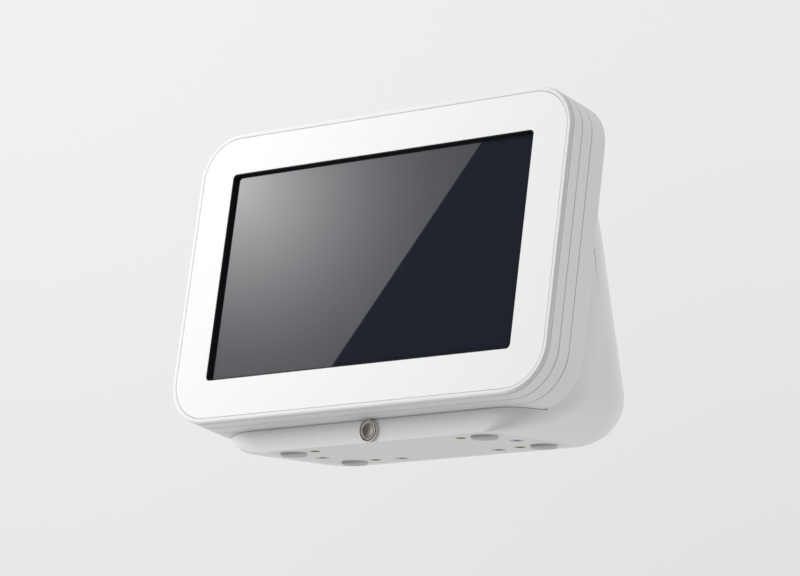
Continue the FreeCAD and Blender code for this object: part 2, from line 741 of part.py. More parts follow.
def make_button():
    """Metal push button in the stand's front wall; its axis runs along Y."""
    wall = SIZES["stand_front"] - 0.15
    face = wall - SIZES["flange_depth"]
    flange = rounded(rod_back(size("flange_diameter"), size("flange_depth"), button_place(face)), 0.5,
                     lambda edge: edge.CenterOfMass.y < depth_back(face) + 0.1 and edge.Length > 10)
    barrel = rod_back(size("barrel_diameter"), size("barrel_length"), button_place(wall - 0.2))
    seat = wall + 3.2
    tools = [rod_back(size("cap_diameter") + size("cap_clearance") * 2, seat - face + 1,
                      button_place(face - 1)),
             rod_back(size("stem_diameter") + 0.12, 10, button_place(seat - 1))]
    node("button_bezel", cut(fuse([flange, barrel]), tools))
    cap_face = face + 0.5
    cap = rod_back(size("cap_diameter"), 2.0, button_place(cap_face))
    smooth = rounded(cap, 0.25,
                     lambda edge: edge.CenterOfMass.y < depth_back(cap_face) + 0.1 and edge.Length > 10)
    stem = rod_back(size("stem_diameter"), 6.2, button_place(cap_face + 1.5))
    node("button_cap", fuse([smooth, stem]))
    spring_start = cap_face + 2.02 + SIZES["button_travel"]
    spring = cut(rod_back(5.2, seat - spring_start - 0.02, button_place(spring_start + 0.01)),
                 [rod_back(3.2, 4, button_place(spring_start - 1))])
    node("button_spring", spring)
    washer = cut(rod_back(8.0, 0.28, button_place(wall + 2.8)),
                 [rod_back(size("barrel_diameter") + 0.06, 2, button_place(wall + 2))])
    node("button_washer", washer)
    nut = cut(hex_bar(7.6, 1.5, button_place(wall + 3.1)),
              [rod_back(size("barrel_diameter") + 0.06, 4, button_place(wall + 2))])
    node("button_nut", nut)
    switch = box(6.0, 3.6, 4.6, button_place(wall + 7.6))
    pocket = rod_back(2.8, 2.4, button_place(wall + 7.5))
    node("switch_body", cut(switch, [pocket]))
    leads = []
    for x in (-1.4, 1.4):
        leads.append(rod_back(0.9, 23.4, stand_place(x, wall + 11.25, SIZES["button_height"] - 1.2)))
    node("switch_leads", compound(leads))


# ---------------------------------------------------------------- build and write

def check_document():
    for item in doc.Objects:
        if "Invalid" in item.State or "Error" in item.State:
            raise RuntimeError("%s (%s) failed to compute: %s" % (item.Name, item.Label, item.State))
    for label, item in nodes.items():
        shape = item.Shape
        if shape.isNull() or not shape.isValid() or not shape.Solids:
            raise RuntimeError(label + " has no valid solid")


def write_parts():
    os.makedirs("parts", exist_ok=True)
    for label, item in nodes.items():
        item.Shape.exportStep("parts/%s.step" % label)


def main():
    fill_sheet()
    first, second, rear = band_starts()
    make_front_panel()
    make_bezel_ring()
    make_band("side_band_front", first, size("first_band"), 2.4)
    make_band("side_band_middle", second, size("second_band"))
    make_chassis()
    make_rear_cover()
    make_screen()
    make_bracket()
    make_board()
    make_ribbons()
    make_stand()
    make_base()
    make_ports()
    make_speaker()
    make_link_cable()
    make_button()
    doc.recompute()
    check_document()
    write_parts()
    whole = FreeCAD.BoundBox()
    for item in nodes.values():
        whole.add(item.Shape.BoundBox)
    print("%d nodes, box %s" % (len(nodes), whole))
    for label, item in nodes.items():
        print("%-20s solids %2d volume %10.1f" % (label, len(item.Shape.Solids), item.Shape.Volume))


main()
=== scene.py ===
import json
import math

import bpy
from mathutils import Matrix, Vector


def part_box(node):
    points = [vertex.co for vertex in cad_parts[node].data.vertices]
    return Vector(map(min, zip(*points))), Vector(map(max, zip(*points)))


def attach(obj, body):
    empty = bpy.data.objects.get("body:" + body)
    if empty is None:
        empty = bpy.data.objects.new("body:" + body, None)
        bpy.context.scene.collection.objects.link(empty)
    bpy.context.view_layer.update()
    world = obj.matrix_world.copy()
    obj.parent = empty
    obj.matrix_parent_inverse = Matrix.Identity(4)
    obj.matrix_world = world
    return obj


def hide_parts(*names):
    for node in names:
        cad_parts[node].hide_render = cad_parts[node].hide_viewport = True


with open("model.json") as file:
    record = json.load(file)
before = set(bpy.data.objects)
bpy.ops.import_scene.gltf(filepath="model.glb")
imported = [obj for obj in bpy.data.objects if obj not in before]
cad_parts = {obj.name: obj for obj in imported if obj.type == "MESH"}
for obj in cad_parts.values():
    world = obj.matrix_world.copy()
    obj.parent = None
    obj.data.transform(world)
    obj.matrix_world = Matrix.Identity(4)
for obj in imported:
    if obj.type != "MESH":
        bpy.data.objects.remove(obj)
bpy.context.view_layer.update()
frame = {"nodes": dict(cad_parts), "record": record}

bl_info = {
    "name": "Touchscreen kiosk",
    "version": (1, 0, 0),
    "blender": (4, 5, 0),
    "location": "3D View > Sidebar > Kiosk",
    "description": "Finishes the counter-top touchscreen kiosk: moulded shell, dark glass and metal button",
    "category": "Object",
}

MM = 0.001
PANEL_THICKNESS = 2.0 * MM
LCD_HALF_WIDTH = 77.05 * MM
LCD_HALF_HEIGHT = 42.95 * MM
FOOT_RADIUS = 5.5 * MM
MERGE_DISTANCE = 0.002 * MM
BEVEL_ANGLE = math.radians(35)
SMOOTH_ANGLE = math.radians(32)
TILT = math.radians(10.8)
FACE_SIDE = Vector((1, 0, 0))
FACE_UP = Vector((0, math.sin(TILT), math.cos(TILT)))
FACE_OUT = Vector((0, -math.cos(TILT), math.sin(TILT)))


def face_centre():
    """Centre of the front panel's outer face."""
    low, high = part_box("front_panel")
    return (low + high) / 2 + FACE_OUT * PANEL_THICKNESS / 2


# ------------------------------------------------------------------ settings

class KioskFinishSettings(bpy.types.PropertyGroup):
    """Colours and surface sizes of the kiosk's finishes."""

    shell_colour: bpy.props.FloatVectorProperty(
        name="Shell white", description="Colour of the moulded shell", subtype="COLOR",
        default=(0.86, 0.86, 0.855), min=0.0, max=1.0)
    panel_colour: bpy.props.FloatVectorProperty(
        name="Front panel white", description="Colour of the smooth front panel", subtype="COLOR",
        default=(0.90, 0.90, 0.895), min=0.0, max=1.0)
    glass_colour: bpy.props.FloatVectorProperty(
        name="Dark glass", description="Colour of the switched-off screen behind its glass",
        subtype="COLOR", default=(0.0165, 0.0195, 0.0285), min=0.0, max=1.0)
    border_colour: bpy.props.FloatVectorProperty(
        name="Printed border", description="Colour of the border printed behind the glass",
        subtype="COLOR", default=(0.0150, 0.0175, 0.0245), min=0.0, max=1.0)
    cap_colour: bpy.props.FloatVectorProperty(
        name="Button nickel", description="Colour of the button's cap", subtype="COLOR",
        default=(0.74, 0.69, 0.60), min=0.0, max=1.0)
    grain: bpy.props.FloatProperty(
        name="Moulded grain", description="Size of the fine grain of the shell", unit="LENGTH",
        default=0.35 * MM, min=0.05 * MM, max=2 * MM)


class KioskButtonSettings(bpy.types.PropertyGroup):
    """Shape of the push button."""

    lip: bpy.props.FloatProperty(
        name="Ring lip", description="Width of the flat lip on the button's ring", unit="LENGTH",
        default=0.9 * MM, min=0.3 * MM, max=1.3 * MM)
    dish: bpy.props.FloatProperty(
        name="Cap dish", description="How deep the cap's face is dished", unit="LENGTH",
        default=0.18 * MM, min=0.0, max=0.5 * MM)
    sides: bpy.props.IntProperty(
        name="Sides", description="Faces round a turned piece", default=96, min=24, max=256)


class KioskStageSettings(bpy.types.PropertyGroup):
    """Camera and light."""

    azimuth: bpy.props.FloatProperty(
        name="Camera azimuth", description="How far to the right the camera stands", subtype="ANGLE",
        default=math.radians(38.06))
    elevation: bpy.props.FloatProperty(
        name="Camera elevation", description="How far above the horizon the camera stands",
        subtype="ANGLE", default=math.radians(-9.07))
    distance: bpy.props.FloatProperty(
        name="Camera distance", description="Distance of the camera from the screen", unit="LENGTH",
        default=1.4878, min=0.3, max=10)
    lens: bpy.props.FloatProperty(
        name="Lens", description="Focal length on a 36 mm sensor", unit="CAMERA",
        default=165.76, min=20, max=400)
    aim_right: bpy.props.FloatProperty(
        name="Aim right", description="How far right of the screen's centre the camera aims",
        unit="LENGTH", default=13.7 * MM)
    aim_down: bpy.props.FloatProperty(
        name="Aim down", description="How far below the screen's centre the camera aims",
        unit="LENGTH", default=12.1 * MM)
    key_power: bpy.props.FloatProperty(
        name="Key light", description="Power of the large soft light at the front left",
        subtype="POWER", default=46.0, min=0.0)
    card_top: bpy.props.FloatProperty(
        name="Reflection at the top", description="Where the lit panel's reflected edge meets the "
        "window's top, as a share of its width from the left", subtype="FACTOR", default=0.832)
    card_bottom: bpy.props.FloatProperty(
        name="Reflection at the bottom", description="Where the lit panel's reflected edge meets the "
        "window's bottom, as a share of its width from the left", subtype="FACTOR", default=0.412)
    card_dim: bpy.props.FloatProperty(
        name="Panel edge glow", description="Brightness of the lit panel beyond the reach of its "
        "hot spot", default=1.4)
    card_bright: bpy.props.FloatProperty(
        name="Panel hot spot", description="Brightness of the lit panel at its hot spot",
        default=9.4)


# ------------------------------------------------------------------ node trees

class Wire:
    """An output socket that can be used in sums; each sum adds its Math node."""

    def __init__(self, tree, socket):
        self.tree = tree
        self.socket = socket

    def sum_node(self, operation, first, second):
        node = self.tree.nodes.new("ShaderNodeMath")
        node.operation = operation
        for slot, value in zip(node.inputs, (first, second)):
            if isinstance(value, Wire):
                self.tree.links.new(value.socket, slot)
            else:
                slot.default_value = value
        return Wire(self.tree, node.outputs[0])

    def __add__(self, other):
        return self.sum_node("ADD", self, other)

    __radd__ = __add__

    def __sub__(self, other):
        return self.sum_node("SUBTRACT", self, other)

    def __rsub__(self, other):
        return self.sum_node("SUBTRACT", other, self)

    def __mul__(self, other):
        return self.sum_node("MULTIPLY", self, other)

    __rmul__ = __mul__

    def __truediv__(self, other):
        return self.sum_node("DIVIDE", self, other)

    def __pow__(self, other):
        return self.sum_node("POWER", self, other)

    def __lt__(self, other):
        return self.sum_node("LESS_THAN", self, other)

    def __abs__(self):
        return self.sum_node("ABSOLUTE", self, 0.0)


class Tree:
    """A node tree, with one method that adds any node."""

    def __init__(self, tree):
        self.tree = tree

    def add(self, kind, settings=None, inputs=None, output=0):
        node = self.tree.nodes.new(kind)
        for name, value in (settings or {}).items():
            setattr(node, name, value)
        for name, value in (inputs or {}).items():
            if isinstance(value, Wire):
                self.tree.links.new(value.socket, node.inputs[name])
            else:
                node.inputs[name].default_value = value
        return Wire(self.tree, node.outputs[output])

    def split(self, vector):
        """The three parts of a vector."""
        node = self.tree.nodes.new("ShaderNodeSeparateXYZ")
        self.tree.links.new(vector.socket, node.inputs[0])
        return [Wire(self.tree, output) for output in node.outputs]

    def grey(self, level, tint=(1.0, 1.0, 1.0)):
        """A tint made brighter or darker by a level."""
        return self.add("ShaderNodeVectorMath", {"operation": "SCALE"}, {0: tint, "Scale": level})

    def output_to(self, kind, surface):
        """The tree's output node, fed by a surface."""
        out = self.tree.nodes.new(kind)
        self.tree.links.new(surface.socket, out.inputs["Surface"])


class Finish(Tree):
    """A material with one Principled surface."""

    def __init__(self, name, constants):
        self.material = bpy.data.materials.new(name)
        self.material.use_nodes = True
        super().__init__(self.material.node_tree)
        self.surface = self.tree.nodes["Principled BSDF"]
        for socket, value in constants.items():
            self.surface.inputs[socket].default_value = value
        self.place = self.add("ShaderNodeTexCoord", output="Object")

    def feed(self, socket, wire):
        self.tree.links.new(wire.socket, self.surface.inputs[socket])

    def noise(self, size, detail=3.0, roughness=0.5, place=None):
        """Noise whose lumps are about so large."""
        return self.add("ShaderNodeTexNoise", {}, {
            "Vector": place or self.place, "Scale": 1.0 / size, "Detail": detail,
            "Roughness": roughness}, "Fac")

    def blend(self, share, first, second):
        """A colour between two colours."""
        return self.add("ShaderNodeMix", {"data_type": "RGBA"},
                        {0: share, 6: (*first, 1.0), 7: (*second, 1.0)}, 2)

    def relief(self, height, depth, strength):
        """Bump of so much depth."""
        self.feed("Normal", self.add("ShaderNodeBump", {}, {
            "Height": height, "Distance": depth, "Strength": strength}, "Normal"))

    def face_place(self):
        """Coordinates on the tilted face: X across it, Y into it, Z up it."""
        centre = face_centre()
        moved = self.add("ShaderNodeMapping", {"vector_type": "POINT"}, {
            "Vector": self.place, "Location": -centre}, 0)
        return self.add("ShaderNodeMapping", {"vector_type": "POINT"}, {
            "Vector": moved, "Rotation": (TILT, 0, 0)}, 0)


def shade(colour, factor):
    return tuple(min(1.0, channel * factor) for channel in colour)


# ------------------------------------------------------------------ finishes

def moulded_white(name, colour, grain, roughness=0.42, relief=1.0):
    """Spark-eroded white plastic: fine grain, faint clouding, handling marks in its gloss.

    The relief is a factor on the usual depth of the grain."""
    finish = Finish(name, {"IOR": 1.46, "Specular IOR Level": 0.42})
    clouds = finish.noise(28 * MM, 2.0)
    fine = finish.noise(grain, 2.0, 0.6)
    speckle = finish.noise(grain * 3, 4.0, 0.65)
    rubbed = finish.noise(9 * MM, 4.0, 0.6)
    finish.feed("Base Color", finish.blend(clouds * 0.7 + speckle * 0.3, shade(colour, 0.975), colour))
    finish.feed("Roughness", roughness - 0.06 + rubbed * 0.10 + fine * 0.05)
    finish.relief(fine * 0.7 + speckle * 0.5, 0.02 * MM * relief, 0.45)
    return finish.material


def shell_white(settings):
    return moulded_white("shell_white", settings.shell_colour, settings.grain)


def panel_white(settings):
    """The front panel is moulded in a polished tool, with a very fine ripple."""
    finish = Finish("panel_white", {"IOR": 1.49, "Specular IOR Level": 0.5})
    clouds = finish.noise(45 * MM, 2.0)
    ripple = finish.noise(6 * MM, 2.0)
    hairs = finish.noise(0.8 * MM, 5.0, 0.7)
    white = settings.panel_colour
    finish.feed("Base Color", finish.blend(clouds, shade(white, 0.985), white))
    finish.feed("Roughness", 0.30 + hairs * 0.07)
    finish.relief(ripple + hairs * 0.2, 0.006 * MM, 0.5)
    return finish.material


def dark_glass(settings):
    """Switched-off screen behind hard glass: printed border, faint fingerprints in the gloss."""
    finish = Finish("dark_glass", {"IOR": 1.5, "Specular IOR Level": 0.5})
    across, _, up = finish.split(finish.face_place())
    active = (abs(across) < LCD_HALF_WIDTH) * (abs(up) < LCD_HALF_HEIGHT)
    cells = finish.noise(60 * MM, 1.0) * 0.15
    tone = finish.blend(active * (1.0 - cells), settings.border_colour, settings.glass_colour)
    finish.feed("Base Color", tone)
    smears = finish.noise(14 * MM, 5.0, 0.62)
    dust = finish.noise(0.25 * MM, 2.0, 0.5)
    finish.feed("Roughness", 0.006 + smears * 0.006 + dust * 0.004)
    return finish.material


def soft_black(name, colour, grain=0.4 * MM, roughness=0.62):
    """Matt black rubber or plastic."""
    finish = Finish(name, {"IOR": 1.45, "Specular IOR Level": 0.4})
    fine = finish.noise(grain, 3.0, 0.6)
    patches = finish.noise(6 * MM, 3.0)
    finish.feed("Base Color", finish.blend(patches, colour, shade(colour, 1.7)))
    finish.feed("Roughness", roughness + fine * 0.15)
    finish.relief(fine, 0.03 * MM, 0.6)
    return finish.material


def sheet_metal(name, colour, roughness=0.34, stretch=(1.0, 22.0, 22.0)):
    """Rolled and plated metal, drawn out along X unless the stretch says otherwise."""
    finish = Finish(name, {"Metallic": 1.0, "IOR": 2.0})
    drawn = finish.add("ShaderNodeMapping", {}, {"Vector": finish.place, "Scale": stretch}, 0)
    lines = finish.noise(4 * MM, 5.0, 0.65, drawn)
    blotches = finish.noise(7 * MM, 3.0)
    finish.feed("Base Color", finish.blend(blotches, shade(colour, 0.86), colour))
    finish.feed("Roughness", roughness - 0.08 + lines * 0.22)
    finish.relief(lines, 0.012 * MM, 0.5)
    return finish.material


def turned_metal(name, colour, roughness, ring_size, depth):
    """Metal turned in a lathe about the button's axis."""
    finish = Finish(name, {"Metallic": 1.0, "IOR": 2.2})
    low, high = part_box("button_bezel")
    centre = (low + high) / 2
    x, _, z = finish.split(finish.place)
    radius = ((x - centre.x) ** 2 + (z - centre.z) ** 2) ** 0.5
    rings = finish.add("ShaderNodeTexNoise", {"noise_dimensions": "1D"}, {
        "W": radius / ring_size, "Scale": 1.0, "Detail": 4.0}, "Fac")
    wear = finish.noise(1.6 * MM, 4.0, 0.6)
    finish.feed("Base Color", finish.blend(wear, shade(colour, 0.88), colour))
    finish.feed("Roughness", roughness + rings * 0.10 + wear * 0.08)
    finish.relief(rings, depth, 0.5)
    return finish.material


def circuit_board():
    """Green solder mask over copper tracks."""
    finish = Finish("circuit_board", {"IOR": 1.5, "Coat Weight": 0.3, "Coat Roughness": 0.2})
    tracks = finish.add("ShaderNodeTexBrick", {"offset": 0.5}, {
        "Vector": finish.place, "Scale": 90.0, "Mortar Size": 0.06}, "Fac")
    weave = finish.noise(1.2 * MM, 3.0)
    finish.feed("Base Color", finish.blend(tracks * 0.8 + weave * 0.2, (0.006, 0.075, 0.028),
                                           (0.02, 0.16, 0.06)))
    finish.feed("Roughness", 0.30 + weave * 0.15)
    finish.relief(tracks, 0.03 * MM, 0.5)
    return finish.material


def plain_finish(name, colour, roughness, grain=0.6 * MM):
    """A plain moulded or printed surface with a light grain."""
    finish = Finish(name, {})
    fine = finish.noise(grain, 3.0)
    patches = finish.noise(10 * MM, 2.0)
    finish.feed("Base Color", finish.blend(patches, shade(colour, 0.88), colour))
    finish.feed("Roughness", roughness + fine * 0.12)
    finish.relief(fine, 0.01 * MM, 0.4)
    return finish.material


def slot_finishes(settings):
    """A material for each slot of the record."""
    return {
        "shell_white": shell_white(settings),
        "frame_grey": plain_finish("frame_grey", (0.26, 0.27, 0.28), 0.55),
        "gasket_black": soft_black("gasket_black", (0.006, 0.006, 0.0065)),
        "screen_glass": dark_glass(settings),
        "display_dark": plain_finish("display_dark", (0.012, 0.014, 0.02), 0.15),
        "diffuser_white": plain_finish("diffuser_white", (0.8, 0.82, 0.84), 0.5),
        "sheet_steel": sheet_metal("sheet_steel", (0.56, 0.57, 0.58)),
        "screw_steel": sheet_metal("screw_steel", (0.42, 0.43, 0.45), 0.30, (1.0, 1.0, 1.0)),
        "circuit_board": circuit_board(),
        "chip_black": soft_black("chip_black", (0.014, 0.014, 0.016), 0.3 * MM, 0.5),
        "shield_tin": sheet_metal("shield_tin", (0.66, 0.67, 0.68), 0.28),
        "cooler_aluminium": sheet_metal("cooler_aluminium", (0.70, 0.71, 0.73), 0.36),
        "ribbon_film": plain_finish("ribbon_film", (0.55, 0.22, 0.03), 0.25),
        "foot_rubber": plain_finish("foot_rubber", (0.56, 0.565, 0.565), 0.48, 0.5 * MM),
        "insert_brass": sheet_metal("insert_brass", (0.62, 0.55, 0.40), 0.32, (6.0, 6.0, 30.0)),
        "speaker_black": soft_black("speaker_black", (0.02, 0.02, 0.02), 0.8 * MM, 0.7),
        "cable_grey": soft_black("cable_grey", (0.06, 0.06, 0.065), 0.5 * MM, 0.55),
        "button_ring_chrome": turned_metal("button_ring_chrome", (0.80, 0.79, 0.77), 0.03, 0.09 * MM,
                                           0.002 * MM),
        "button_nickel": turned_metal("button_nickel", settings.cap_colour, 0.24, 0.06 * MM, 0.004 * MM),
    }


def plate_white(settings):
    """Powder coat with a light orange-peel, on the steel base plate."""
    return moulded_white("plate_white", shade(settings.shell_colour, 0.93), 0.9 * MM, 0.5, 1.6)


NODE_FINISHES = {"front_panel": panel_white, "base_plate": plate_white}


class KIOSK_OT_finishes(bpy.types.Operator):
    """Give every piece of the frame the finish of its slot"""

    bl_idname = "kiosk.finishes"
    bl_label = "Finishes"

    def execute(self, context):
        settings = context.scene.kiosk_finish
        finishes = slot_finishes(settings)
        for subpart in frame["record"]["subparts"]:
            name = subpart["node"]
            item = frame["nodes"][name]
            maker = NODE_FINISHES.get(name)
            material = maker(settings) if maker else finishes[subpart["material_slot"]]
            for slot in item.material_slots:
                slot.material = material
        return {"FINISHED"}


# ------------------------------------------------------------------ turned pieces

def clear_selection():
    """Leave edit mode and deselect everything."""
    if bpy.context.object and bpy.context.object.mode != "OBJECT":
        bpy.ops.object.mode_set(mode="OBJECT")
    bpy.ops.object.select_all(action="DESELECT")


def turned(name, profile, centre, axis, sides):
    """Turn a profile of (radius, distance along the axis) about an axis; equal ends close the profile."""
    clear_selection()
    turn = axis.to_track_quat("Z", "Y")
    closed = profile[0] == profile[-1]
    radius, along = profile[0]
    bpy.ops.mesh.primitive_circle_add(
        vertices=sides, radius=radius, fill_type="NOTHING" if closed else "NGON",
        location=centre + axis * along, rotation=turn.to_euler())
    item = bpy.context.object
    item.name = name
    bpy.ops.object.transform_apply(location=True, rotation=True, scale=True)
    bpy.ops.object.mode_set(mode="EDIT")
    bpy.ops.mesh.select_all(action="SELECT")
    for next_radius, next_along in profile[1:]:
        bpy.ops.mesh.extrude_region_move()
        grow = next_radius / radius
        bpy.ops.transform.resize(value=(grow, grow, grow), center_override=centre + axis * along)
        bpy.ops.transform.translate(value=axis * (next_along - along))
        radius, along = next_radius, next_along
    bpy.ops.mesh.select_all(action="SELECT")
    bpy.ops.mesh.remove_doubles(threshold=MERGE_DISTANCE)
    bpy.ops.mesh.normals_make_consistent(inside=False)
    bpy.ops.object.mode_set(mode="OBJECT")
    return item


def close_end(item):
    """Fill the open loop at the end of a turned piece."""
    clear_selection()
    item.select_set(True)
    bpy.context.view_layer.objects.active = item
    bpy.ops.object.mode_set(mode="EDIT")
    bpy.ops.mesh.select_all(action="DESELECT")
    bpy.ops.mesh.select_mode(type="EDGE")
    bpy.ops.mesh.select_non_manifold(extend=False, use_wire=False, use_multi_face=False,
                                     use_non_contiguous=False, use_verts=False)
    bpy.ops.mesh.edge_face_add()
    bpy.ops.mesh.select_mode(type="VERT")
    bpy.ops.mesh.select_all(action="SELECT")
    bpy.ops.mesh.normals_make_consistent(inside=False)
    bpy.ops.object.mode_set(mode="OBJECT")


def joined(items, name):
    """Join pieces into one object."""
    clear_selection()
    for item in items:
        item.select_set(True)
    bpy.context.view_layer.objects.active = items[0]
    bpy.ops.object.join()
    items[0].name = name
    return items[0]


def finish_piece(item, bevel):
    """Bevel the sharp edges, apply, and shade."""
    clear_selection()
    item.select_set(True)
    bpy.context.view_layer.objects.active = item
    rounding = item.modifiers.new("rounding", "BEVEL")
    rounding.width = bevel
    rounding.segments = 2
    rounding.limit_method = "ANGLE"
    rounding.angle_limit = BEVEL_ANGLE
    bpy.ops.object.modifier_apply(modifier=rounding.name)
    bpy.ops.object.shade_smooth_by_angle(angle=SMOOTH_ANGLE)
    return item


def dress(item, node_name, body):
    """Put a new piece in place of a node, with the finish and body of that node."""
    item.data.materials.clear()
    item.data.materials.append(frame["nodes"][node_name].material_slots[0].material)
    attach(item, body)
    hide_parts(node_name)
    return item


BUTTON_AXIS = Vector((0, 1, 0))


def ring_profile(settings):
    """Closed section of the button's ring: (radius, distance behind its front)."""
    low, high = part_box("button_bezel")
    cap_low, cap_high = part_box("button_cap")
    outer = (high.x - low.x) / 2
    length = high.y - low.y
    bore = (cap_high.x - cap_low.x) / 2 + 0.06 * MM
    flange = 1.0 * MM
    barrel = 3.4 * MM
    seat = flange + 3.2 * MM
    stem_bore = 1.26 * MM
    lip = outer - settings.lip
    return [(stem_bore, length), (barrel, length), (barrel, flange), (outer - 0.1 * MM, flange),
            (outer, flange - 0.12 * MM), (outer, 0.5 * MM), (outer - 0.12 * MM, 0.16 * MM),
            (outer - 0.42 * MM, 0.02 * MM), (outer - 0.6 * MM, 0.0), (lip, 0.0),
            (lip - 0.18 * MM, 0.06 * MM), (bore + 0.1 * MM, 0.34 * MM), (bore, 0.5 * MM),
            (bore, seat), (stem_bore, seat), (stem_bore, length)]


def cap_profile(settings):
    """Open section of the dished cap and its stem: (radius, distance behind the ring's front)."""
    ring_low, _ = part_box("button_bezel")
    low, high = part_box("button_cap")
    face = low.y - ring_low.y
    end = high.y - ring_low.y
    rim = (high.x - low.x) / 2
    back = face + 2.0 * MM
    stem = 1.2 * MM
    profile = [(0.05 * MM, face + settings.dish)]
    steps = 8
    for step in range(1, steps + 1):
        share = step / steps
        profile.append((share * (rim - 0.35 * MM), face + settings.dish * (1 - share ** 2)))
    return profile + [(rim - 0.12 * MM, face + 0.02 * MM), (rim, face + 0.16 * MM), (rim, back),
                      (stem, back), (stem, end - 0.3 * MM), (stem - 0.3 * MM, end)]


class KIOSK_OT_button(bpy.types.Operator):
    """Turn the push button's polished ring and its dished cap"""

    bl_idname = "kiosk.button"
    bl_label = "Push button"

    def execute(self, context):
        settings = context.scene.kiosk_button
        low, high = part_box("button_bezel")
        front = Vector((0, low.y, (low.z + high.z) / 2))
        item = turned("button_ring", ring_profile(settings), front, BUTTON_AXIS, settings.sides)
        dress(finish_piece(item, 0.04 * MM), "button_bezel", "kiosk")
        item = turned("button_face", cap_profile(settings), front, BUTTON_AXIS, settings.sides)
        close_end(item)
        dress(finish_piece(item, 0.03 * MM), "button_cap", "button")
        return {"FINISHED"}


class KIOSK_OT_feet(bpy.types.Operator):
    """Turn four soft feet with a ribbed sole"""

    bl_idname = "kiosk.feet"
    bl_label = "Feet"

    def execute(self, context):
        low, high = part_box("rubber_feet")
        height = high.z - low.z
        groove = 0.25 * MM
        profile = [(FOOT_RADIUS - 0.2 * MM, height), (FOOT_RADIUS, height - 0.2 * MM),
                   (FOOT_RADIUS, 0.45 * MM), (FOOT_RADIUS - 0.4 * MM, 0.0)]
        for ring in (4.0, 2.8, 1.6):
            profile += [((ring + 0.35) * MM, 0.0), ((ring + 0.2) * MM, groove), (ring * MM, groove),
                        ((ring - 0.15) * MM, 0.0)]
        feet = []
        for x in (low.x + FOOT_RADIUS, high.x - FOOT_RADIUS):
            for y in (low.y + FOOT_RADIUS, high.y - FOOT_RADIUS):
                foot = turned("foot", profile, Vector((x, y, low.z)), Vector((0, 0, 1)), 48)
                close_end(foot)
                feet.append(foot)
        dress(finish_piece(joined(feet, "ribbed_feet"), 0.05 * MM), "rubber_feet", "kiosk")
        return {"FINISHED"}


# ------------------------------------------------------------------ stage

KEY_PLACE = Vector((-1.55, -1.15, 0.75))
KEY_SIZE = 1.2
SKY_LEVEL = 0.56
SKY_SLOPE = 0.34
SKY_TINT = (1.0, 1.0, 0.998)
FLOOR_SIZE = 14
FLOOR_GAP = 0.05 * MM


def camera_axes(settings):
    """Right, up and forward of the camera."""
    azimuth, elevation = settings.azimuth, settings.elevation
    forward = Vector((-math.sin(azimuth) * math.cos(elevation),
                      math.cos(azimuth) * math.cos(elevation), -math.sin(elevation)))
    right = Vector((math.cos(azimuth), math.sin(azimuth), 0))
    return right, right.cross(forward), forward


def add_camera(settings):
    """The camera, aimed beside the screen's centre."""
    right, up, forward = camera_axes(settings)
    aim = face_centre() + right * settings.aim_right - up * settings.aim_down
    bpy.ops.object.camera_add(location=aim - forward * settings.distance,
                              rotation=(math.pi / 2 - settings.elevation, 0, settings.azimuth))
    camera = bpy.context.object
    camera.name = "camera"
    camera.data.lens = settings.lens
    camera.data.sensor_width = 36
    camera.data.clip_start = 0.05
    camera.data.clip_end = 60
    bpy.context.scene.camera = camera
    return camera


def emitter(name, dim, bright, hot_spot, reach):
    """Material of a glowing card, bright round its hot spot and dim beyond its reach."""
    material = bpy.data.materials.new(name)
    material.use_nodes = True
    tree = Tree(material.node_tree)
    tree.tree.nodes.clear()
    place = tree.add("ShaderNodeTexCoord", output="Object")
    away = tree.add("ShaderNodeVectorMath", {"operation": "DISTANCE"},
                    {0: place, 1: (*hot_spot, 0)}, "Value")
    fall = tree.add("ShaderNodeClamp", {}, {"Value": 1.0 - away / reach})
    level = fall ** 2.2 * (bright - dim) + dim
    glow = tree.add("ShaderNodeEmission", {}, {"Color": tree.grey(level)})
    tree.output_to("ShaderNodeOutputMaterial", glow)
    return material


def add_card(name, middle, along, away, toward, material):
    """A card whose straight lower edge lies along a line; it is seen only in reflections."""
    clear_selection()
    bpy.ops.mesh.primitive_plane_add(size=1, location=(0, 0, 0))
    card = bpy.context.object
    card.name = name
    width, height = 1.6, 0.8
    card.data.transform(Matrix.Diagonal((width, height, 1, 1)) @ Matrix.Translation((0, 0.5, 0)))
    turn = Matrix((along, away, toward)).transposed()
    card.matrix_world = Matrix.Translation(middle) @ turn.to_4x4()
    card.data.materials.append(material)
    card.visible_camera = False
    card.visible_diffuse = False
    card.visible_shadow = False
    card.visible_transmission = False
    return card


